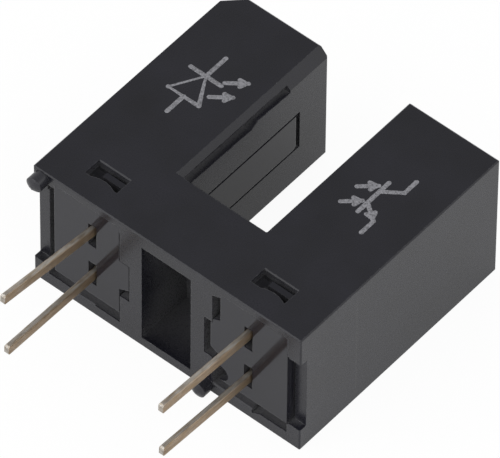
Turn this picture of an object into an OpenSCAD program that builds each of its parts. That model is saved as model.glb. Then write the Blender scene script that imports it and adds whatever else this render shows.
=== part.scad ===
// Slotted optical switch: a U-shaped moulded housing with a light source in one arm,
// a light detector in the other and four flat leads for a circuit board.
// It lies on its broad face, with the leads towards -Y and the arms towards +Y.

/* [Housing] */
// Width across both arms
body_w = 13.05; // [12.95:0.05:13.3]
// Length from the lead side to the tips of the arms
body_l = 11.5; // [11.4:0.1:12.4]
// Thickness, from the face it lies on to the face above
body_t = 6.4; // [6.4:0.05:6.6]
// Width of the slot between the arms
slot_w = 4.0; // [3.9:0.02:4.0]
// Depth of the base, from the lead side to the bottom of the slot
base_l = 3.2; // [3.2:0.05:3.6]
// Distance of the slot's middle from the middle of the body
slot_offset = 0.17; // [0.1:0.01:0.18]
// Size of the small bevel on the outer edges
edge = 0.05; // [0.03:0.01:0.08]
// Size of the bevel on the edges at the tips of the arms
tip_edge = 0.07; // [0.05:0.01:0.2]
// Size of the corner cut off the outside of the light source's arm
corner_cut = 0.8; // [0.4:0.1:1.2]

/* [Leads] */
// Thickness of a lead, across the rows
lead_t = 0.23; // [0.2:0.01:0.28]
// Width of a lead, along its row
lead_w = 0.46; // [0.4:0.02:0.6]
// Length of the leads outside the housing
lead_l = 4.9; // [4:0.1:8]
// Distance between the two rows of leads
row_pitch = 7.62; // [7.58:0.01:7.66]
// Distance between the two leads of a row
lead_pitch = 2.54; // [2.5:0.01:2.58]
// Height of the middle of a row
lead_mid_z = 3.48; // [3.45:0.01:3.52]

/* [Locating pegs] */
// Radius of a peg
peg_r = 0.35; // [0.3:0.01:0.4]
// Length of a peg
peg_l = 0.6; // [0.4:0.05:1]

/* [Optics] */
// Distance of the light beam from the lead side
beam_y = 8.2; // [7.9:0.05:8.3]
// Height of the light beam
beam_z = 3.22; // [3.18:0.02:3.3]
// Width of the slit that the beam passes
slit_w = 0.5; // [0.3:0.05:0.8]
// Width of the lens on each package
lens_w = 1.5; // [1.2:0.1:1.6]

/* [Hidden] */
$fn = 48;

// The two sides of the slot
LED = -1;
DETECTOR = 1;

// Outer faces of the housing, measured from the middle of the slot, and the draft of the light source's arm
slot_half = slot_w / 2;
led_side = -body_w / 2 - slot_offset;
detector_side = body_w / 2 - slot_offset;
led_draft = 0.06;
// The lead side, placed so that the part's origin is midway between lead tips and arm tips
face_y = (lead_l - body_l) / 2;
past = 1;
seam = 0.03;

// Middles of the locating pegs on the lead side
upper_peg = [led_side + peg_r + 0.1, body_t - peg_r - 0.03];
lower_peg = [slot_half - 0.2, peg_r + 0.03];
peg_root = 0.3;
peg_dome_r = 0.6;

// The holder's plug, which closes the lead end of an arm
plug_in = slot_half + 0.47;
function plug_out(side) = side == LED ? 5.66 : 5.72;
plug_l = 2.9;
plug_bottom = 1.11;
plug_top = body_t - 0.35;
// The tongue, which runs from the plug along the slot wall and carries the light through it
tongue = [beam_z - 0.915, beam_z + 0.915];
tongue_end = 9.66;
tongue_play = 0.1;
tongue_tip_gap = 0.22;
tongue_tip_cut = 0.12;
// Slanted relief under the lead end of the tongue: its heights at the slot side and at the plug
relief_z = [2.72, 2.49];
relief_l = 1.5;
// Slanted ridge on top of the detector's tongue, at the slot side and at the plug
ridge_z = [4.36, 4.57];

// Openings round the plug: slot-side gap, outer gap and the recess in the end of the outer wall
function gap_in(side) = side == LED ? plug_in - seam : slot_half + 0.08;
function gap_out(side) = side == LED ? -led_side - 0.5 : detector_side - 0.55;
gap_in_top = [body_t - 0.69, body_t - 0.55];
function gap_out_z(side) = side == LED ? [1.1, 5.83] : [1.1, 5.05];
// The upper end of the light source's outer gap, which is wider
gap_wide_z = 5.0;
gap_wide = 0.1;
function recess_z(side) = side == LED ? [1.1, 5.72] : [1.15, 5.0];
function channel_in(side) = side == LED ? slot_half - seam : slot_half - 0.31;
recess_l = 0.36;
channel_l = 2.6;
channel_bottom = 2.1;
// The lower wall's lip under a plug: a step up and a bevel on the light source's side,
// a slanted notch and a bevel on the detector's side
lip_l = 0.9;
lip_bevel = 0.06;
led_lip_z = [0.55, 0.65];
led_lip_step = 4.68;
led_lip_bevel = 3.69;
led_lip_past = 0.28;
detector_lip_z = 0.58;
lip_notch_x = [4.02, 4.43];
lip_notch_z = 0.38;

// Latch windows in the upper face, with a bowed near edge and a small rim at the far edge,
// and the bar of each latch in them
function window_x(side) = side == LED ? [-4.99, -3.43] : [3.08, 4.72];
function bow_x(side) = side == LED ? -4.15 : 4.1;
window_y = [1.0, 1.79];
window_rim = 0.05;
bow_h = 0.14;
bow_r = 1.2;
pit_z = plug_top - 0.2;
bar_start = 0.55;
bar_y = [1.36, 1.62];
bar_z = body_t - 0.14;

// Lead slots in a plug
lead_slot = [0.39, 1.2];
lead_slot_shift = 0.03;
lead_slot_z = [lead_mid_z - 1.11, lead_mid_z + 1.07];
// Round notch in the slot-side edge of the detector's plug
notch_r = 0.38;
notch_z = 1.5;
notch_l = 0.9;

// Lead-side pocket in the base, on the middle of the body
pocket_w = 2.4;
pocket_l = 2.6;
pocket_z = [0.5, body_t - 0.64];

// Edges along the slot side of the light source's arm: a bevel, and a groove that narrows from its step on
arm_bevel = [0.4, 0.45];
groove_step = [7.05, 7.45];
groove_end = 9.3;
groove_top = body_t - 0.27;
groove_bottom = [body_t - 0.62, body_t - 0.71, body_t - 0.5, body_t - 0.59];
groove_d = 0.65;

// Package, its lens and the ribs that hold it
package_x = [3.2, 4.9];
package_y = [4.0, 9.9];
package_z = [1.3, 5.6];
package_bevel = 0.35;
lens_h = 0.38;
lens_r = (pow(lens_w / 2, 2) + pow(lens_h, 2)) / (2 * lens_h);
slit_wall = 0.3;
slit_h = 1.7;
arm_floor = 0.6;
arm_roof = 5.65;
arm_end = 10.0;
rail_z = [1.7, 5.2];
rib_y = [[4.6, 5.2], [8.6, 9.2]];

// Lead frame, chips and bond wires
row_x = row_pitch / 2;
lead_z = [lead_mid_z - lead_pitch / 2, lead_mid_z + lead_pitch / 2];
lead_r = 0.06;
lead_tip_cut = 0.08;
bend_y = 0.3;
post_y = [5.0, 8.7];
post_z = [4.25, 5.2];
pad_y = [7.4, 9.0];
pad_z = [lead_z[0] - lead_w / 2, 3.8];
chip_h = 0.2;
led_chip_w = 0.35;
detector_chip_w = 0.6;
wire_r = 0.03;
ball_r = 0.07;
ball_h = 0.06;
wire_rise = 0.2;
wire_end_z = 4.55;

// How far each lead's tip is bent from straight, across the rows and along the row
led_anode_bend = [-0.15, 0.43];
led_cathode_bend = [0.03, 0.17];
detector_emitter_bend = [-0.06, 0.24];
detector_collector_bend = [-0.03, 0.30];

// Colours
housing_colour = [0.20, 0.20, 0.21];
holder_colour = [0.13, 0.13, 0.14];
lead_colour = [0.72, 0.66, 0.56];
clear_epoxy_colour = [0.80, 0.84, 0.88];
dark_epoxy_colour = [0.16, 0.12, 0.16];
chip_colour = [0.35, 0.36, 0.42];
gold_colour = [0.90, 0.74, 0.36];

// Moves a shape drawn from the slot's middle and the lead side to its place in the part
module placed() translate([slot_offset, face_y, 0]) children();

// Draws a shape made for the detector's side of the slot on the given side
module on_side(side) mirror([side == LED ? 1 : 0, 0, 0]) children();

// A block between two limits on each axis
module block(x, y, z)
    translate([x[0], y[0], z[0]]) cube([x[1] - x[0], y[1] - y[0], z[1] - z[0]]);

// A bar along X with an outline in Y and Z, and a bar along Y with an outline in X and Z
module along_x(x, outline)
    translate([x[0], 0, 0]) rotate([90, 0, 90]) linear_extrude(x[1] - x[0]) polygon(outline);

module along_y(y, outline)
    translate([0, y[1], 0]) rotate([90, 0, 0]) linear_extrude(y[1] - y[0]) polygon(outline);

// The point at a distance from p on the way to q
function towards(p, q, distance) = p + distance * (q - p) / norm(q - p);

// An outline with each corner cut off by its own distance
function cut_corners(points, cuts) = [
    for (i = [0 : len(points) - 1])
        let (p = points[i])
        let (before = points[(i + len(points) - 1) % len(points)])
        let (after = points[(i + 1) % len(points)])
        each cuts[i] == 0 ? [p] : [towards(p, before, cuts[i]), towards(p, after, cuts[i])]
];

// A rectangle about the origin with round corners
function rounded(width, height, r) = [
    for (turn = [0 : 3])
        let (out_x = turn == 0 || turn == 3 ? 1 : -1)
        let (out_y = turn < 2 ? 1 : -1)
        for (angle = [0 : 30 : 90])
            [out_x * (width / 2 - r) + r * cos(angle + turn * 90),
             out_y * (height / 2 - r) + r * sin(angle + turn * 90)]
];

// A bar along X or Y that bevels a straight edge
module bevel_bar_y(x, y, z, size)
    translate([x, y[0], z]) rotate([0, 45, 0])
        translate([-size / sqrt(2), 0, -size / sqrt(2)])
            cube([size * sqrt(2), y[1] - y[0], size * sqrt(2)]);

module bevel_bar_x(x, y, z, size)
    translate([x[0], y, z]) rotate([45, 0, 0])
        translate([0, -size / sqrt(2), -size / sqrt(2)])
            cube([x[1] - x[0], size * sqrt(2), size * sqrt(2)]);

// The housing's solid form: its plan, its end view and its side view together
module body_form() {
    plan = cut_corners(
        [[led_side, 0], [detector_side, 0], [detector_side, body_l], [slot_half, body_l],
         [slot_half, base_l], [-slot_half, base_l], [-slot_half, body_l], [led_side + led_draft, body_l]],
        [edge, edge, edge, edge, 0, 0, edge, corner_cut]
    );
    end_view = cut_corners(
        [[led_side, 0], [detector_side, 0], [detector_side, body_t], [led_side, body_t]],
        [edge, edge, edge, edge]
    );
    side_view = cut_corners(
        [[0, 0], [body_l, 0], [body_l, body_t], [0, body_t]],
        [edge, tip_edge, tip_edge, edge]
    );
    intersection() {
        linear_extrude(body_t) polygon(plan);
        along_y([0, body_l], end_view);
        along_x([led_side, detector_side], side_view);
    }
}

// A locating peg with a domed end, pointing away from the lead side
module peg(middle)
    translate([middle[0], peg_root, middle[1]]) rotate([90, 0, 0]) intersection() {
        cylinder(r = peg_r, h = peg_l + peg_root);
        translate([0, 0, peg_l + peg_root - peg_dome_r]) sphere(r = peg_dome_r);
    }

// The space for a holder's plug, with the gaps that show round it
module plug_seat(side) {
    out_z = gap_out_z(side);
    on_side(side) {
        block([plug_in, plug_out(side)], [-past, plug_l], [plug_bottom, plug_top]);
        along_y([-past, plug_l], [[gap_in(side), plug_bottom], [plug_in, plug_bottom],
                                [plug_in, gap_in_top[1]], [gap_in(side), gap_in_top[0]]]);
        block([plug_out(side), gap_out(side)], [-past, plug_l], out_z);
        block([gap_out(side) - 0.1, body_w], [-past, recess_l], recess_z(side));
        if (side == LED) {
            block([plug_out(side), gap_out(side) + gap_wide], [-past, plug_l], [gap_wide_z, out_z[1]]);
            block([gap_in(side), led_lip_step], [-past, lip_l], [led_lip_z[0], plug_bottom]);
            block([led_lip_step, plug_out(side) + led_lip_past], [-past, lip_l], [led_lip_z[1], plug_bottom]);
            bevel_bar_x([led_lip_bevel, led_lip_step], 0, led_lip_z[0], lip_bevel);
        } else {
            block([gap_in(side), plug_out(side)], [-past, lip_l], [detector_lip_z, plug_bottom]);
            along_y([-past, lip_l], [[lip_notch_x[0], lip_notch_z], [lip_notch_x[1], detector_lip_z],
                                   [lip_notch_x[1], plug_bottom], [lip_notch_x[0], plug_bottom]]);
            bevel_bar_x([gap_in(side), lip_notch_x[0]], 0, detector_lip_z, lip_bevel);
        }
    }
}

// The channel that the tongue slides along, open to the slot between the arms
module tongue_channel(side) {
    tight = [tongue[0] - seam, tongue[1] + seam];
    loose = [tongue[0] - tongue_play, tongue[1] + tongue_play];
    on_side(side) {
        block([channel_in(side), plug_in], [-past, channel_l], [channel_bottom, tight[1]]);
        block([slot_half - seam, plug_in], [channel_l, base_l], tight);
        block([0, plug_in], [base_l, tongue_end + tongue_tip_gap], loose);
    }
}

// The hollow of an arm, with rails in front of the package and ribs under and behind it
module arm_hollow(side) {
    seat_z = [package_z[0], arm_roof];
    free_z = [arm_floor, arm_roof];
    outer = [package_x[0], gap_out(side)];
    stations = [plug_l, rib_y[0][0], rib_y[0][1], rib_y[1][0], rib_y[1][1], arm_end];
    on_side(side) {
        block(package_x, [plug_l, arm_end], seat_z);
        block([plug_in + slit_wall, package_x[0]], [plug_l, arm_end], rail_z);
        for (i = [0 : 2 : 4]) block(outer, [stations[i], stations[i + 1]], free_z);
        block([slot_half, package_x[0]], [beam_y - slit_w / 2, beam_y + slit_w / 2],
              [beam_z - slit_h / 2, beam_z + slit_h / 2]);
    }
}

// The window in the upper face that a latch snaps into, between two heights
module latch_window(side, z) difference() {
    block(window_x(side), window_y, z);
    translate([bow_x(side), window_y[0] + bow_h - bow_r, z[0] - past])
        cylinder(r = bow_r, h = z[1] - z[0] + 2 * past, $fn = 96);
}

// Bevels and the groove along the slot side of the light source's arm
module led_arm_edges() {
    for (upper = [0, 1])
        translate([0, 0, upper * body_t]) mirror([0, 0, upper])
            along_y([base_l, body_l + past],
                  [[-slot_half - arm_bevel[0], 0], [-slot_half, arm_bevel[1]],
                   [-slot_half + past, arm_bevel[1]], [-slot_half + past, -past],
                   [-slot_half - arm_bevel[0], -past]]);
    along_x([-slot_half - groove_d, 0],
          [[base_l, groove_bottom[0]], [groove_step[0], groove_bottom[1]], [groove_step[1], groove_bottom[2]],
           [groove_end, groove_bottom[3]], [groove_end, groove_top], [base_l, groove_top]]);
}

module housing() color(housing_colour) placed() difference() {
    union() {
        body_form();
        peg(upper_peg);
        peg(lower_peg);
    }
    for (side = [LED, DETECTOR]) {
        plug_seat(side);
        tongue_channel(side);
        arm_hollow(side);
        latch_window(side, [pit_z, body_t + past]);
        bevel_bar_x(window_x(side), window_y[1], body_t, window_rim);
    }
    led_arm_edges();
    for (z = [0, body_t]) {
        bevel_bar_y(slot_half, [base_l, body_l], z, edge);
        bevel_bar_x([-slot_half, slot_half], base_l, z, edge);
    }
    block([-slot_offset - pocket_w / 2, -slot_offset + pocket_w / 2], [-past, pocket_l], pocket_z);
}

// The tongue, with its lower corner cut off at the tip and a slanted relief under its lead end
module tongue_form() {
    outer_relief = relief_z[0] + seam * (relief_z[0] - relief_z[1]) / (plug_in - slot_half);
    difference() {
        along_x([slot_half, plug_in], cut_corners(
            [[0, tongue[0]], [tongue_end, tongue[0]], [tongue_end, tongue[1]], [0, tongue[1]]],
            [0, tongue_tip_cut, 0, 0]
        ));
        along_y([-past, relief_l], [[slot_half - seam, tongue[0] - past], [plug_in, tongue[0] - past],
                                  [plug_in, relief_z[1]], [slot_half - seam, outer_relief]]);
    }
}

// A holder: the plug with its lead slots and latch, and the tongue
module holder(side) {
    window = window_x(side);
    difference() {
        on_side(side) {
            block([plug_in, plug_out(side)], [0, plug_l], [plug_bottom, plug_top]);
            tongue_form();
        }
        for (z = lead_slot_z)
            on_side(side)
                block([row_x + side * lead_slot_shift - lead_slot[0] / 2,
                       row_x + side * lead_slot_shift + lead_slot[0] / 2],
                      [-past, plug_l + past], [z - lead_slot[1] / 2, z + lead_slot[1] / 2]);
        latch_window(side, [pit_z, body_t]);
    }
    block([window[0] + bar_start, window[1]], bar_y, [pit_z, bar_z]);
}

module led_holder() color(holder_colour) placed() holder(LED);

// The detector's holder also has a ridge on its tongue and a round notch in the plug
module detector_holder() color(holder_colour) placed() difference() {
    union() {
        holder(DETECTOR);
        along_y([0, channel_l], [[gap_in(DETECTOR) + seam, tongue[1] - seam], [plug_in + seam, tongue[1] - seam],
                               [plug_in + seam, ridge_z[1]], [gap_in(DETECTOR) + seam, ridge_z[0]]]);
    }
    translate([plug_in, notch_l, notch_z]) rotate([90, 0, 0]) cylinder(r = notch_r, h = notch_l + past);
}

// The stretch of a lead outside the housing: round edges, and corners cut off at the tip
module lead_tail(length) intersection() {
    along_y([-length, 0], rounded(lead_t, lead_w, lead_r));
    along_x([-lead_t, lead_t], cut_corners(
        [[-length, -lead_w / 2], [0, -lead_w / 2], [0, lead_w / 2], [-length, lead_w / 2]],
        [lead_tip_cut, 0, 0, lead_tip_cut]
    ));
}

// A flat lead: its bent tail outside, its straight stretch and the shape at its inner end
module lead(side, level, bend, inner_y, inner_z, straight_end) {
    tail_l = lead_l + bend_y;
    x = [row_x - lead_t / 2, row_x + lead_t / 2];
    on_side(side) {
        translate([row_x, bend_y, level])
            rotate([-asin(bend[1] / tail_l), 0, side * asin(bend[0] / tail_l)]) lead_tail(tail_l);
        block(x, [bend_y - 0.05, straight_end], [level - lead_w / 2, level + lead_w / 2]);
        block(x, inner_y, inner_z);
    }
}

// The lead with the post that a bond wire ends on
module post_lead(side, bend) lead(side, lead_z[1], bend, post_y, post_z, post_y[0] + lead_w);

// The lead with the pad that carries a chip
module pad_lead(side, bend) lead(side, lead_z[0], bend, pad_y, pad_z, pad_y[0] + lead_w);

module led_anode_lead() color(lead_colour) placed() post_lead(LED, led_anode_bend);
module led_cathode_lead() color(lead_colour) placed() pad_lead(LED, led_cathode_bend);
module detector_emitter_lead() color(lead_colour) placed() post_lead(DETECTOR, detector_emitter_bend);
module detector_collector_lead() color(lead_colour) placed() pad_lead(DETECTOR, detector_collector_bend);

// A chip on the slot side of its pad
module chip(side, width) {
    face = row_x - lead_t / 2;
    on_side(side)
        block([face - chip_h, face], [beam_y - width / 2, beam_y + width / 2],
              [beam_z - width / 2, beam_z + width / 2]);
}

module led_chip() color(chip_colour) placed() chip(LED, led_chip_w);
module detector_chip() color(chip_colour) placed() chip(DETECTOR, detector_chip_w);

// A bond wire: a ball on the chip, a low arc and a stud on the post
module bond_wire(side) {
    face = row_x - lead_t / 2;
    chip_top = face - chip_h;
    span = wire_end_z - beam_z;
    arc_r = (pow(span / 2, 2) + pow(wire_rise, 2)) / (2 * wire_rise);
    half_angle = asin(span / 2 / arc_r);
    start_x = chip_top - ball_h / 2;
    on_side(side) {
        translate([chip_top - ball_h, beam_y, beam_z]) rotate([0, 90, 0]) cylinder(r = ball_r, h = ball_h);
        translate([chip_top - ball_h, beam_y, wire_end_z]) rotate([0, 90, 0])
            cylinder(r = ball_r, h = chip_h + ball_h);
        translate([start_x - wire_rise + arc_r, beam_y, beam_z + span / 2]) rotate([90, 0, 0])
            rotate(180 - half_angle) rotate_extrude(angle = 2 * half_angle)
                translate([arc_r, 0]) circle(r = wire_r, $fn = 24);
    }
}

module led_bond_wire() color(gold_colour) placed() bond_wire(LED);
module detector_bond_wire() color(gold_colour) placed() bond_wire(DETECTOR);

// A package: a block with a lens towards the slot, moulded round its leads, chip and wire
module package(side, chip_w) difference() {
    on_side(side) {
        difference() {
            block(package_x, package_y, package_z);
            for (z = package_z) bevel_bar_y(package_x[1], package_y, z, package_bevel);
        }
        intersection() {
            translate([package_x[0] - lens_h + lens_r, beam_y, beam_z]) sphere(r = lens_r);
            block([package_x[0] - lens_h, package_x[0] + 0.1], [beam_y - lens_w, beam_y + lens_w], package_z);
        }
    }
    post_lead(side, [0, 0]);
    pad_lead(side, [0, 0]);
    chip(side, chip_w);
    bond_wire(side);
}

module led_package() color(clear_epoxy_colour) placed() package(LED, led_chip_w);
module detector_package() color(dark_epoxy_colour) placed() package(DETECTOR, detector_chip_w);

housing();
led_holder();
detector_holder();
led_package();
detector_package();
led_chip();
detector_chip();
led_bond_wire();
detector_bond_wire();
led_anode_lead();
led_cathode_lead();
detector_emitter_lead();
detector_collector_lead();
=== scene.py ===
# Slotted optical switch: finishes, printed symbols, floor, light and camera round the fixed CAD frame.
import math

import bpy
from mathutils import Matrix, Vector


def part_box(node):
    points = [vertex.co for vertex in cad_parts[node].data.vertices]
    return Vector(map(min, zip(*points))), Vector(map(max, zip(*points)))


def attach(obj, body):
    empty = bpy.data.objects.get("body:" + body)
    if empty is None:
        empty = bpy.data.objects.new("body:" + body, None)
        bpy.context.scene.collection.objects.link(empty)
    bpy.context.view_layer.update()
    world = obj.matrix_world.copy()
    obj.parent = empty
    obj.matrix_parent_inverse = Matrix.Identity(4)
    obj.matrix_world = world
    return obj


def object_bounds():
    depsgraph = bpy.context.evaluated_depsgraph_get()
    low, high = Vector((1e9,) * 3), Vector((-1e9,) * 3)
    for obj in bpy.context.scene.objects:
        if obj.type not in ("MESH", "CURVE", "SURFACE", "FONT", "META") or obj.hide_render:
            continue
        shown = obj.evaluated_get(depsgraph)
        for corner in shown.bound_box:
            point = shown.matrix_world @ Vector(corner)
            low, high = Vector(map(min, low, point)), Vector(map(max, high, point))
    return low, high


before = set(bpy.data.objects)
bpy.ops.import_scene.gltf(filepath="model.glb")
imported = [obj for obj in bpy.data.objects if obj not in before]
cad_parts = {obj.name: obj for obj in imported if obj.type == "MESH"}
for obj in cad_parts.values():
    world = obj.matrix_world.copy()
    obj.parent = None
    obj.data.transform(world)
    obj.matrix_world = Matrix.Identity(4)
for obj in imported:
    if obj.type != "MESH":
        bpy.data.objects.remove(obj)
cad_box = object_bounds()
scene = bpy.context.scene

# A millimetre in metres, which are the frame's unit
MM = 0.001

# The photograph's width and the focal length in pixels, and the sensor's width in millimetres
IMAGE_W = 500
FOCAL_PX = 11055
SENSOR_MM = 36
# The camera that was fitted to the housing's corners in the photograph, in degrees and millimetres
VIEW_AZIMUTH = 39.822
VIEW_ELEVATION = 50.274
VIEW_ROLL = 0.575
VIEW_DISTANCE = 412.71
VIEW_POINT = Vector((0.17, 0.0, 3.2))
VIEW_OFFSET = Vector((-0.858, -1.089))
CLIP_NEAR = 10
CLIP_FAR = 10000

# Printed symbols in millimetres: where their middles are, and the strokes' sizes
LED_SYMBOL_AT = (-4.1, 3.65)
DETECTOR_SYMBOL_AT = (4.1, 3.75)
STROKE_W = 0.19
STROKE_END_SIDES = 20
INK_T = 0.012
INK_SUNK = 0.004
ARROW_HEAD = 0.36
ARROW_ANGLE = math.radians(28)

# Real sizes of the patterns in the finishes, in millimetres
PLASTIC_GRAIN = 0.07
PLASTIC_FLOW = 2.2
EDGE_ROUND = 0.035
EDGE_NICK = 0.2
# How far the painted light in cavities looks for the walls that shade a place
CAVITY_REACH = 3.0
RESIN_HAZE = 0.6
TIN_STREAK_ACROSS = 0.06
TIN_STREAK_ALONG = 0.9
TARNISH_PATCH = 0.5
TARNISH_SPECK_ACROSS = 0.12
TARNISH_SPECK_ALONG = 0.6
INK_PORE = 0.07
CHIP_CELL = 0.06

# Depth of the relief on the finishes in millimetres, and how strongly it shows
PLASTIC_RELIEF = 0.006
PLASTIC_RELIEF_SHARE = 0.08
TIN_RELIEF = 0.008
TIN_RELIEF_SHARE = 0.25
INK_RELIEF = 0.004
INK_RELIEF_SHARE = 0.3

# Lowest and highest roughness of the finishes, and what else sets their shine
PLASTIC_ROUGH = (0.22, 0.34)
PLASTIC_IOR = 1.5
PLASTIC_SHINE = 0.33
RESIN_ROUGH = (0.07, 0.13)
RESIN_IOR = 1.5
RESIN_SHINE = 0.3
TIN_ROUGH = (0.4, 0.6)
TIN_METALLIC = 0.8
EPOXY_ROUGH = (0.04, 0.1)
EPOXY_IOR = 1.54
CHIP_ROUGH = (0.15, 0.3)
CHIP_METALLIC = 0.7
GOLD_ROUGH = (0.15, 0.3)
INK_ROUGH = 0.6

# Noise levels at which a mark begins and is whole, and the most of it that shows
NICK_FROM = (0.42, 0.7)
CLOUD_FROM = (0.3, 0.7)
CLOUD_MOST = 0.25
STREAK_FROM = (0.45, 0.75)
STREAK_MOST = 0.7
STAIN_FROM = (0.5, 0.7)
STAIN_MOST = 0.5
INK_COVER_FROM = (0.3, 0.6)

# Cosine of the turn that a rounded edge gives a surface, where its rubbing and painted highlight begin and
# where they are whole
EDGE_TURN = (0.98, 0.85)
EDGE_SAMPLES = 6
# Share of the sky that a surface sees where the light painted into a cavity ends
CAVITY_SKY = 0.57
CAVITY_SAMPLES = 8

# Spaces on the part, each by its first and last place along each axis in millimetres
# What lies between the body's outer faces and not in the slot is a gap or a cavity, and gets painted light
BODY_SPACE = ((-6.4, 6.4), (-3.26, 8.1), (0.1, 6.35))
SLOT_SPACE = ((-1.87, 2.21), (-0.15, 9.0), (-1.0, 7.0))
# The latch windows are shaped by a polished insert, and get only a share of the light painted into cavities
LATCH_SPACE = ((-7.0, 7.0), (-2.4, -1.4), (5.8, 7.0))
LATCH_PAINTED_LIGHT = 0.55
# The pegs stand out of the lead side, and rub; this share of lighter grey also paints a sheen on them
PEG_SPACE = ((-7.0, 7.0), (-5.0, -3.34), (-1.0, 7.0))
PEG_WEAR_AND_SHEEN = 0.14
# The outer wall of the detector's arm has a shallow sink along the end of the base behind it, painted as a
# lighter line that stands in for its sheen
SINK_SPACE = ((6.4, 7.0), (-0.1, -0.02), (0.7, 5.9))

# Matte surfaces get this share of the white that the eye sees all round
AMBIENT = 0.68
# The floor glows for the eye, and less in reflections, so that they show where the floor is in shade
FLOOR_GLOW = 0.94
FLOOR_GLOW_MIRRORED = 0.45
# Reflections see white down to the floor, and a dimmer ceiling that begins and is whole at these heights
OVERHEAD = 0.5
CEILING_FROM = (0.3, 0.9)
# Half the floor's width and the gap under the part, in metres
FLOOR_R = 3.0
FLOOR_GAP = 0.00002
# Each lamp's direction from the part, its distance and width in metres, and its power in watts
LAMPS = {
    "key": ((-0.41, -0.77, 0.49), 0.25, 0.3, 0.36),
    "side_fill": ((0.7, -0.25, 0.8), 0.3, 0.25, 0.2),
    "rim": ((0.77, 0.49, 0.41), 0.25, 0.2, 0.06),
}


def linear(hex_code):
    """An sRGB hex colour as linear RGBA."""
    parts = [int(hex_code[i:i + 2], 16) / 255 for i in (1, 3, 5)]
    return [c / 12.92 if c <= 0.04045 else ((c + 0.055) / 1.055) ** 2.4 for c in parts] + [1.0]


def per_mm(size):
    """The texture scale that draws a pattern at a real size in millimetres."""
    return 1 / (size * MM)


def add(tree, kind, inputs=None, **settings):
    """Adds a node with its settings; an input is a value, or a socket that is linked to it."""
    node = tree.nodes.new(kind)
    for name, value in settings.items():
        setattr(node, name, value)
    for key, value in (inputs or {}).items():
        if isinstance(value, bpy.types.NodeSocket):
            tree.links.new(value, node.inputs[key])
        else:
            node.inputs[key].default_value = value
    return node


def new_material(name):
    """A material with an empty tree, and the object coordinates in that tree."""
    material = bpy.data.materials.new(name)
    material.use_nodes = True
    tree = material.node_tree
    tree.nodes.clear()
    return material, tree, add(tree, "ShaderNodeTexCoord").outputs["Object"]


def show(tree, shader):
    """Sends a shader to the surface."""
    add(tree, "ShaderNodeOutputMaterial", {"Surface": shader.outputs[0]})


def within(tree, place, space):
    """1 where a place lies in a box-shaped space, and 0 elsewhere."""
    spot = add(tree, "ShaderNodeSeparateXYZ", {0: place})
    hits = []
    for axis, (first, last) in zip("XYZ", space):
        hit = add(tree, "ShaderNodeMath", {
            0: spot.outputs[axis], 1: (first + last) / 2 * MM, 2: (last - first) / 2 * MM,
        }, operation="COMPARE")
        hits.append(hit.outputs[0])
    level = add(tree, "ShaderNodeMath", {0: hits[0], 1: hits[1]}, operation="MULTIPLY")
    return add(tree, "ShaderNodeMath", {0: level.outputs[0], 1: hits[2]}, operation="MULTIPLY").outputs[0]


def cavity_painted_light(tree, place, outer, painted_cavity_colour):
    """A colour with a lighter grey painted in on gaps and cavities as light in their shade, most of it far
    inside.
    """
    sky = add(tree, "ShaderNodeAmbientOcclusion", {"Distance": CAVITY_REACH * MM}, samples=CAVITY_SAMPLES)
    deep = add(tree, "ShaderNodeMapRange", {
        "Value": sky.outputs["AO"], "From Max": CAVITY_SKY, "To Min": 1.0, "To Max": 0.0,
    })
    inside = add(tree, "ShaderNodeMath", {
        0: within(tree, place, BODY_SPACE), 1: within(tree, place, SLOT_SPACE),
    }, operation="SUBTRACT", use_clamp=True)
    amount = add(tree, "ShaderNodeMapRange", {
        "Value": within(tree, place, LATCH_SPACE), "To Min": 1.0, "To Max": LATCH_PAINTED_LIGHT,
    })
    in_painted_cavity = add(tree, "ShaderNodeMath", {0: inside.outputs[0], 1: amount.outputs[0]}, operation="MULTIPLY")
    share = add(tree, "ShaderNodeMath", {0: deep.outputs[0], 1: in_painted_cavity.outputs[0]}, operation="MULTIPLY")
    return add(tree, "ShaderNodeMix", {0: share.outputs[0], 6: outer, 7: linear(painted_cavity_colour)}, data_type="RGBA")


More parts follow.
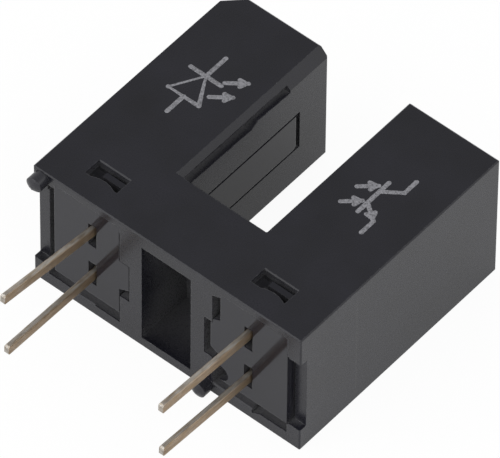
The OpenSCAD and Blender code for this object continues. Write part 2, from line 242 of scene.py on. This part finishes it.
def moulded_polyester():
    # Glass-filled black polyester from a spark-eroded mould: a satin near-black with a fine grain, faint
    # flow clouds and a faint sink line painted lighter as a sheen, edges and pegs rubbed a little lighter
    # and painted with highlights, and painted light, a lighter grey, in the gaps and cavities where shade
    # falls. The grain is drawn coarser than it is, so that it shows.
    material, tree, place = new_material("moulded_polyester")
    grain = add(tree, "ShaderNodeTexNoise", {
        "Vector": place, "Scale": per_mm(PLASTIC_GRAIN), "Detail": 3.0,
    })
    flow = add(tree, "ShaderNodeTexNoise", {
        "Vector": place, "Scale": per_mm(PLASTIC_FLOW), "Detail": 3.0,
    })
    clouds = add(tree, "ShaderNodeMix", {
        0: flow.outputs[0], 6: linear("#0e0e13"), 7: linear("#1e1e26"),
    }, data_type="RGBA")
    # A lighter line painted where the wall sinks, as a painted sheen
    sink_sheen = add(tree, "ShaderNodeMix", {
        0: within(tree, place, SINK_SPACE), 6: clouds.outputs[2], 7: linear("#222226"),
    }, data_type="RGBA")
    # Painted light: a lighter grey in the gaps and cavities where shade falls
    with_cavity_light = cavity_painted_light(tree, place, sink_sheen.outputs[2], "#6e6e70")
    soft = add(tree, "ShaderNodeBevel", {"Radius": EDGE_ROUND * MM}, samples=EDGE_SAMPLES)
    flat = add(tree, "ShaderNodeNewGeometry").outputs["True Normal"]
    turned = add(tree, "ShaderNodeVectorMath", {0: soft.outputs[0], 1: flat}, operation="DOT_PRODUCT")
    near_edge = add(tree, "ShaderNodeMapRange", {
        "Value": turned.outputs["Value"], "From Min": EDGE_TURN[0], "From Max": EDGE_TURN[1],
    })
    nicks = add(tree, "ShaderNodeTexNoise", {
        "Vector": place, "Scale": per_mm(EDGE_NICK), "Detail": 2.0,
    })
    rubbed = add(tree, "ShaderNodeMapRange", {
        "Value": nicks.outputs[0], "From Min": NICK_FROM[0], "From Max": NICK_FROM[1],
    })
    # Lighter grey on rubbed edges, which also paints highlights along them
    edge_wear_and_highlight = add(tree, "ShaderNodeMath", {
        0: near_edge.outputs[0], 1: rubbed.outputs[0],
    }, operation="MULTIPLY")
    peg_wear_and_sheen = add(tree, "ShaderNodeMath", {
        0: within(tree, place, PEG_SPACE), 1: PEG_WEAR_AND_SHEEN,
    }, operation="MULTIPLY")
    wear_and_highlight = add(tree, "ShaderNodeMath", {
        0: edge_wear_and_highlight.outputs[0], 1: peg_wear_and_sheen.outputs[0],
    }, operation="MAXIMUM")
    # Edges and pegs painted a lighter grey: partly rubbed, partly a painted highlight and sheen
    colour = add(tree, "ShaderNodeMix", {
        0: wear_and_highlight.outputs[0], 6: with_cavity_light.outputs[2], 7: linear("#5c5c60"),
    }, data_type="RGBA")
    rough = add(tree, "ShaderNodeMapRange", {
        "Value": grain.outputs[0], "To Min": PLASTIC_ROUGH[0], "To Max": PLASTIC_ROUGH[1],
    })
    bump = add(tree, "ShaderNodeBump", {
        "Height": grain.outputs[0], "Strength": PLASTIC_RELIEF_SHARE, "Distance": PLASTIC_RELIEF * MM,
        "Normal": soft.outputs[0],
    })
    show(tree, add(tree, "ShaderNodeBsdfPrincipled", {
        "Base Color": colour.outputs[2], "Roughness": rough.outputs[0], "Normal": bump.outputs[0],
        "IOR": PLASTIC_IOR, "Specular IOR Level": PLASTIC_SHINE,
    }))
    return material


def infrared_polycarbonate():
    # Polycarbonate dyed to pass infrared only, from a polished mould: black to the eye and glossy, with a
    # slight haze, so it mirrors the leads that come out of it.
    material, tree, place = new_material("infrared_polycarbonate")
    haze = add(tree, "ShaderNodeTexNoise", {
        "Vector": place, "Scale": per_mm(RESIN_HAZE), "Detail": 4.0,
    })
    tone = add(tree, "ShaderNodeMix", {
        0: haze.outputs[0], 6: linear("#121219"), 7: linear("#17171f"),
    }, data_type="RGBA")
    # Painted light: a lighter grey in the gaps and cavities where shade falls
    with_cavity_light = cavity_painted_light(tree, place, tone.outputs[2], "#545456")
    rough = add(tree, "ShaderNodeMapRange", {
        "Value": haze.outputs[0], "To Min": RESIN_ROUGH[0], "To Max": RESIN_ROUGH[1],
    })
    soft = add(tree, "ShaderNodeBevel", {"Radius": EDGE_ROUND * MM}, samples=EDGE_SAMPLES)
    show(tree, add(tree, "ShaderNodeBsdfPrincipled", {
        "Base Color": with_cavity_light.outputs[2], "Roughness": rough.outputs[0], "Normal": soft.outputs[0],
        "IOR": RESIN_IOR, "Specular IOR Level": RESIN_SHINE,
    }))
    return material


def tinned_bronze():
    # Bronze strip with a thin matte tin plating: pale grey on the narrow edges and the cut ends, where the
    # tin is whole, and warm brown on the broad sides, where it is thin. Chosen by which way a face turns,
    # this is also painted light on the edges and ends and painted shade on the broad sides. Rolling streaks
    # run along the lead, with cloudy tarnish and small stains that are drawn out along it.
    material, tree, place = new_material("tinned_bronze")
    rolled = add(tree, "ShaderNodeMapping", {
        "Vector": place,
        "Scale": (per_mm(TIN_STREAK_ACROSS), per_mm(TIN_STREAK_ALONG), per_mm(TIN_STREAK_ACROSS)),
    })
    streaks = add(tree, "ShaderNodeTexNoise", {"Vector": rolled.outputs[0], "Scale": 1.0, "Detail": 3.0})
    patches = add(tree, "ShaderNodeTexNoise", {
        "Vector": place, "Scale": per_mm(TARNISH_PATCH), "Detail": 5.0,
    })
    soft = add(tree, "ShaderNodeBevel", {"Radius": EDGE_ROUND * MM}, samples=EDGE_SAMPLES)
    facing = add(tree, "ShaderNodeVectorMath", {0: soft.outputs[0]}, operation="ABSOLUTE")
    broad = add(tree, "ShaderNodeSeparateXYZ", {0: facing.outputs[0]})
    cloudy = add(tree, "ShaderNodeMapRange", {
        "Value": patches.outputs[0], "From Min": CLOUD_FROM[0], "From Max": CLOUD_FROM[1],
        "To Min": -CLOUD_MOST, "To Max": CLOUD_MOST,
    })
    # The broad sides get the brown: partly the thin tin's tone, partly painted shade on faces that turn
    # sideways
    warm = add(tree, "ShaderNodeMath", {
        0: cloudy.outputs[0], 1: broad.outputs["X"],
    }, operation="ADD", use_clamp=True)
    plated_lit_and_shaded = add(tree, "ShaderNodeMix", {
        0: warm.outputs[0], 6: linear("#aca8a2"), 7: linear("#96836e"),
    }, data_type="RGBA")
    drawn = add(tree, "ShaderNodeMapRange", {
        "Value": streaks.outputs[0], "From Min": STREAK_FROM[0], "From Max": STREAK_FROM[1],
        "To Max": STREAK_MOST,
    })
    streaked = add(tree, "ShaderNodeMix", {
        0: drawn.outputs[0], 6: plated_lit_and_shaded.outputs[2], 7: linear("#8c744c"),
    }, data_type="RGBA")
    drawn_out = add(tree, "ShaderNodeMapping", {
        "Vector": place,
        "Scale": (per_mm(TARNISH_SPECK_ACROSS), per_mm(TARNISH_SPECK_ALONG), per_mm(TARNISH_SPECK_ACROSS)),
    })
    specks = add(tree, "ShaderNodeTexNoise", {"Vector": drawn_out.outputs[0], "Scale": 1.0, "Detail": 2.0})
    stained = add(tree, "ShaderNodeMapRange", {
        "Value": specks.outputs[0], "From Min": STAIN_FROM[0], "From Max": STAIN_FROM[1],
        "To Max": STAIN_MOST,
    })
    colour = add(tree, "ShaderNodeMix", {
        0: stained.outputs[0], 6: streaked.outputs[2], 7: linear("#645444"),
    }, data_type="RGBA")
    rough = add(tree, "ShaderNodeMapRange", {
        "Value": streaks.outputs[0], "To Min": TIN_ROUGH[0], "To Max": TIN_ROUGH[1],
    })
    bump = add(tree, "ShaderNodeBump", {
        "Height": streaks.outputs[0], "Strength": TIN_RELIEF_SHARE, "Distance": TIN_RELIEF * MM,
        "Normal": soft.outputs[0],
    })
    show(tree, add(tree, "ShaderNodeBsdfPrincipled", {
        "Base Color": colour.outputs[2], "Metallic": TIN_METALLIC, "Roughness": rough.outputs[0],
        "Normal": bump.outputs[0],
    }))
    return material


def cast_epoxy(name, light, dark, clear):
    # Epoxy cast round the chip in a polished mould: glossy, with faint swirls from the pouring.
    material, tree, place = new_material(name)
    swirl = add(tree, "ShaderNodeTexNoise", {
        "Vector": place, "Scale": per_mm(RESIN_HAZE), "Distortion": 1.5,
    })
    tone = add(tree, "ShaderNodeMix", {
        0: swirl.outputs[0], 6: linear(light), 7: linear(dark),
    }, data_type="RGBA")
    rough = add(tree, "ShaderNodeMapRange", {
        "Value": swirl.outputs[0], "To Min": EPOXY_ROUGH[0], "To Max": EPOXY_ROUGH[1],
    })
    show(tree, add(tree, "ShaderNodeBsdfPrincipled", {
        "Base Color": tone.outputs[2], "Roughness": rough.outputs[0], "IOR": EPOXY_IOR,
        "Transmission Weight": clear,
    }))
    return material


def semiconductor(name, light, dark):
    # A sawn crystal with a lapped face: dark, metallic in its shine, with a fine grid of cells.
    material, tree, place = new_material(name)
    cells = add(tree, "ShaderNodeTexVoronoi", {
        "Vector": place, "Scale": per_mm(CHIP_CELL), "Randomness": 0.0,
    })
    tone = add(tree, "ShaderNodeMix", {
        0: cells.outputs[0], 6: linear(light), 7: linear(dark),
    }, data_type="RGBA")
    rough = add(tree, "ShaderNodeMapRange", {
        "Value": cells.outputs[0], "To Min": CHIP_ROUGH[0], "To Max": CHIP_ROUGH[1],
    })
    show(tree, add(tree, "ShaderNodeBsdfPrincipled", {
        "Base Color": tone.outputs[2], "Metallic": CHIP_METALLIC, "Roughness": rough.outputs[0],
    }))
    return material


def drawn_gold():
    # Drawn gold wire: warm and bright, with fine marks from the die.
    material, tree, place = new_material("drawn_gold")
    marks = add(tree, "ShaderNodeTexNoise", {
        "Vector": place, "Scale": per_mm(TIN_STREAK_ACROSS), "Detail": 2.0,
    })
    tone = add(tree, "ShaderNodeMix", {
        0: marks.outputs[0], 6: linear("#e2b04e"), 7: linear("#c9933a"),
    }, data_type="RGBA")
    rough = add(tree, "ShaderNodeMapRange", {
        "Value": marks.outputs[0], "To Min": GOLD_ROUGH[0], "To Max": GOLD_ROUGH[1],
    })
    show(tree, add(tree, "ShaderNodeBsdfPrincipled", {
        "Base Color": tone.outputs[2], "Metallic": 1.0, "Roughness": rough.outputs[0],
    }))
    return material


def printing_ink():
    # Thin grey pad-printing ink: matte, and uneven, so the black plastic shows through its pores.
    material, tree, place = new_material("printing_ink")
    pores = add(tree, "ShaderNodeTexNoise", {
        "Vector": place, "Scale": per_mm(INK_PORE), "Detail": 2.0,
    })
    cover = add(tree, "ShaderNodeMapRange", {
        "Value": pores.outputs[0], "From Min": INK_COVER_FROM[0], "From Max": INK_COVER_FROM[1],
    })
    colour = add(tree, "ShaderNodeMix", {
        0: cover.outputs[0], 6: linear("#555559"), 7: linear("#838388"),
    }, data_type="RGBA")
    bump = add(tree, "ShaderNodeBump", {
        "Height": pores.outputs[0], "Strength": INK_RELIEF_SHARE, "Distance": INK_RELIEF * MM,
    })
    show(tree, add(tree, "ShaderNodeBsdfPrincipled", {
        "Base Color": colour.outputs[2], "Roughness": INK_ROUGH, "Normal": bump.outputs[0],
    }))
    return material


def seen_directly(tree):
    """1 for rays from the camera, from a reflection or through something clear, and 0 for other light."""
    path = add(tree, "ShaderNodeLightPath").outputs
    seen = path["Is Camera Ray"]
    for kind in ("Is Glossy Ray", "Is Transmission Ray"):
        seen = add(tree, "ShaderNodeMath", {0: seen, 1: path[kind]}, operation="MAXIMUM").outputs[0]
    return seen


def paper_sweep():
    # White photographer's paper: white to the eye and matte to the light, so it keeps the object's shadow.
    material, tree, _ = new_material("paper_sweep")
    mirrored = add(tree, "ShaderNodeLightPath").outputs["Is Glossy Ray"]
    glow_level = add(tree, "ShaderNodeMapRange", {
        "Value": mirrored, "To Min": FLOOR_GLOW, "To Max": FLOOR_GLOW_MIRRORED,
    })
    glow_share = add(tree, "ShaderNodeMath", {
        0: seen_directly(tree), 1: glow_level.outputs[0],
    }, operation="MULTIPLY")
    matte = add(tree, "ShaderNodeBsdfDiffuse", {"Color": linear("#fcfcfc")})
    glow = add(tree, "ShaderNodeEmission", {"Color": linear("#ffffff"), "Strength": 1.0})
    show(tree, add(tree, "ShaderNodeMixShader", {
        0: glow_share.outputs[0], 1: matte.outputs[0], 2: glow.outputs[0],
    }))
    return material


def studio_floor():
    """A pale floor just under the face that the part lies on."""
    corners = [(-FLOOR_R, -FLOOR_R), (FLOOR_R, -FLOOR_R), (FLOOR_R, FLOOR_R), (-FLOOR_R, FLOOR_R)]
    mesh = bpy.data.meshes.new("floor")
    mesh.from_pydata([(x, y, cad_box[0].z - FLOOR_GAP) for x, y in corners], [], [(0, 1, 2, 3)])
    mesh.materials.append(paper_sweep())
    floor = bpy.data.objects.new("floor", mesh)
    scene.collection.objects.link(floor)


def studio_world():
    """White all round to the eye, a dimmer ceiling in reflections, and a weaker light on matte surfaces."""
    world = bpy.data.worlds.new("studio")
    scene.world = world
    world.use_nodes = True
    tree = world.node_tree
    tree.nodes.clear()
    direction = add(tree, "ShaderNodeTexCoord").outputs["Generated"]
    height = add(tree, "ShaderNodeSeparateXYZ", {0: direction})
    ceiling = add(tree, "ShaderNodeMapRange", {
        "Value": height.outputs["Z"], "From Min": CEILING_FROM[0], "From Max": CEILING_FROM[1],
        "To Min": 1.0, "To Max": OVERHEAD,
    })
    mirrored = add(tree, "ShaderNodeLightPath").outputs["Is Glossy Ray"]
    white = add(tree, "ShaderNodeMapRange", {
        "Value": mirrored, "To Min": 1.0, "To Max": ceiling.outputs[0],
    })
    level = add(tree, "ShaderNodeMapRange", {
        "Value": seen_directly(tree), "To Min": AMBIENT, "To Max": white.outputs[0],
    })
    sky = add(tree, "ShaderNodeBackground", {"Color": linear("#ffffff"), "Strength": level.outputs[0]})
    add(tree, "ShaderNodeOutputWorld", {"Surface": sky.outputs[0]})


def softbox(name, direction, distance, width, watts):
    """A round area lamp that faces the part from a direction."""
    away = Vector(direction).normalized()
    lamp = bpy.data.lights.new(name, "AREA")
    lamp.shape = "DISK"
    lamp.size = width
    lamp.energy = watts
    stand = bpy.data.objects.new(name, lamp)
    stand.location = (cad_box[0] + cad_box[1]) / 2 + away * distance
    stand.rotation_euler = away.to_track_quat("Z", "Y").to_euler()
    scene.collection.objects.link(stand)


def photo_camera():
    """The camera that the photograph was taken with, by the fit to the housing's corners."""
    azimuth, elevation, roll = (math.radians(v) for v in (VIEW_AZIMUTH, VIEW_ELEVATION, VIEW_ROLL))
    back = Vector((math.sin(azimuth) * math.cos(elevation), -math.cos(azimuth) * math.cos(elevation),
                   math.sin(elevation)))
    level = Vector((math.cos(azimuth), math.sin(azimuth), 0))
    right = level * math.cos(roll) + back.cross(level) * math.sin(roll)
    up = back.cross(right)
    place = VIEW_POINT + back * VIEW_DISTANCE - right * VIEW_OFFSET.x - up * VIEW_OFFSET.y
    data = bpy.data.cameras.new("photo_camera")
    data.sensor_width = SENSOR_MM
    data.lens = FOCAL_PX / IMAGE_W * SENSOR_MM
    data.clip_start = CLIP_NEAR * MM
    data.clip_end = CLIP_FAR * MM
    camera = bpy.data.objects.new("photo_camera", data)
    camera.matrix_world = Matrix.Translation(place * MM) @ Matrix((right, up, back)).transposed().to_4x4()
    scene.collection.objects.link(camera)
    scene.camera = camera


def arrow(tail, tip):
    """The strokes of an arrow: its shaft and the two sides of its head."""
    start, end = Vector(tail), Vector(tip)
    back = (start - end).normalized() * ARROW_HEAD
    sides = [end + Matrix.Rotation(turn, 2) @ back for turn in (ARROW_ANGLE, -ARROW_ANGLE)]
    return [[start, end], [sides[0], end, sides[1]]]


def ink_strokes_tree():
    """Geometry nodes that turn paths into flat strokes of ink with round ends and corners."""
    tree = bpy.data.node_groups.new("ink_strokes", "GeometryNodeTree")
    face = tree.interface
    face.new_socket("Paths", in_out="INPUT", socket_type="NodeSocketGeometry")
    for name in ("Stroke width", "Ink thickness"):
        face.new_socket(name, in_out="INPUT", socket_type="NodeSocketFloat")
    face.new_socket("Ink", in_out="INPUT", socket_type="NodeSocketMaterial")
    face.new_socket("Strokes", in_out="OUTPUT", socket_type="NodeSocketGeometry")
    given = add(tree, "NodeGroupInput").outputs
    half = add(tree, "ShaderNodeMath", {0: given["Stroke width"], 1: 0.5}, operation="MULTIPLY")
    paths = add(tree, "GeometryNodeMeshToCurve", {"Mesh": given["Paths"]})
    upright = add(tree, "GeometryNodeSetCurveNormal", {"Curve": paths.outputs[0]}, mode="Z_UP")
    section = add(tree, "GeometryNodeCurvePrimitiveQuadrilateral", {
        "Width": given["Stroke width"], "Height": given["Ink thickness"],
    })
    bands = add(tree, "GeometryNodeCurveToMesh", {
        "Curve": upright.outputs[0], "Profile Curve": section.outputs[0], "Fill Caps": True,
    })
    dot = add(tree, "GeometryNodeMeshCylinder", {
        "Vertices": STROKE_END_SIDES, "Radius": half.outputs[0], "Depth": given["Ink thickness"],
    })
    dots = add(tree, "GeometryNodeInstanceOnPoints", {
        "Points": given["Paths"], "Instance": dot.outputs["Mesh"],
    })
    solid_dots = add(tree, "GeometryNodeRealizeInstances", {0: dots.outputs[0]})
    both = add(tree, "GeometryNodeJoinGeometry", {0: bands.outputs[0]})
    tree.links.new(solid_dots.outputs[0], both.inputs[0])
    whole = add(tree, "GeometryNodeMeshBoolean", {
        "Mesh 2": both.outputs[0], "Self Intersection": True,
    }, operation="UNION", solver="EXACT")
    real = add(tree, "GeometryNodeRealizeInstances", {0: whole.outputs[0]})
    inked = add(tree, "GeometryNodeSetMaterial", {"Geometry": real.outputs[0], "Material": given["Ink"]})
    add(tree, "NodeGroupOutput", {0: inked.outputs[0]})
    return tree


def printed_symbol(name, strokes, at, tree, ink):
    """A symbol printed on the upper face; its strokes run along the arm and across it from its middle."""
    points, edges = [], []
    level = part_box("housing")[1].z / MM + INK_T / 2 - INK_SUNK
    for stroke in strokes:
        first = len(points)
        points += [Vector((at[0] - v, at[1] + u, level)) * MM for u, v in stroke]
        edges += [(i, i + 1) for i in range(first, len(points) - 1)]
    mesh = bpy.data.meshes.new(name + "_paths")
    mesh.from_pydata(points, edges, [])
    piece = bpy.data.objects.new(name, mesh)
    scene.collection.objects.link(piece)
    modifier = piece.modifiers.new("strokes", "NODES")
    modifier.node_group = tree
    values = {"Stroke width": STROKE_W * MM, "Ink thickness": INK_T * MM, "Ink": ink}
    for item in tree.interface.items_tree:
        if item.name in values:
            modifier[item.identifier] = values[item.name]
    seen = piece.evaluated_get(bpy.context.evaluated_depsgraph_get())
    piece.data = bpy.data.meshes.new_from_object(seen)
    piece.modifiers.clear()
    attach(piece, "root")


# Circuit symbols: a diode that sends light towards the slot, and a phototransistor that gets it from there
DIODE = [
    [(-1.7, 0.35), (-0.75, 0.35)],
    [(-0.75, -0.4), (-0.75, 1.1), (0.55, 0.35), (-0.75, -0.4)],
    [(0.55, -0.4), (0.55, 1.1)],
    [(0.55, 0.35), (1.7, 0.35)],
    *arrow((-0.15, -0.4), (0.4, -1.1)),
    *arrow((0.75, -0.4), (1.3, -1.1)),
]
PHOTOTRANSISTOR = [
    [(-0.9, 0.0), (0.9, 0.0)],
    [(0.35, 0.0), (0.9, -0.75), (1.6, -0.75)],
    [(-0.35, 0.0), (-0.9, -0.75), (-1.6, -0.75)],
    arrow((-0.35, 0.0), (-0.85, -0.68))[1],
    *arrow((-0.95, 0.8), (-0.4, 0.2)),
    *arrow((0.0, 0.8), (0.55, 0.2)),
]

plastic = moulded_polyester()
resin = infrared_polycarbonate()
tin = tinned_bronze()
gold = drawn_gold()
FINISHES = {
    "housing": plastic,
    "led_holder": resin,
    "detector_holder": resin,
    "led_package": cast_epoxy("clear_epoxy", "#dfe8ec", "#cfdce4", clear=0.9),
    "detector_package": cast_epoxy("dark_epoxy", "#1a1218", "#0f0b10", clear=0.3),
    "led_chip": semiconductor("gallium_arsenide", "#6b6a72", "#4a4852"),
    "detector_chip": semiconductor("silicon", "#59606f", "#3c4350"),
    "led_bond_wire": gold,
    "detector_bond_wire": gold,
    "led_anode_lead": tin,
    "led_cathode_lead": tin,
    "detector_emitter_lead": tin,
    "detector_collector_lead": tin,
}
for node_name, finish in FINISHES.items():
    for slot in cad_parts[node_name].material_slots:
        slot.material = finish

ink = printing_ink()
strokes_tree = ink_strokes_tree()
printed_symbol("led_symbol", DIODE, LED_SYMBOL_AT, strokes_tree, ink)
printed_symbol("detector_symbol", PHOTOTRANSISTOR, DETECTOR_SYMBOL_AT, strokes_tree, ink)

studio_floor()
studio_world()
for lamp_name, lamp_values in LAMPS.items():
    softbox(lamp_name, *lamp_values)
photo_camera()
scene.view_settings.view_transform = "Standard"
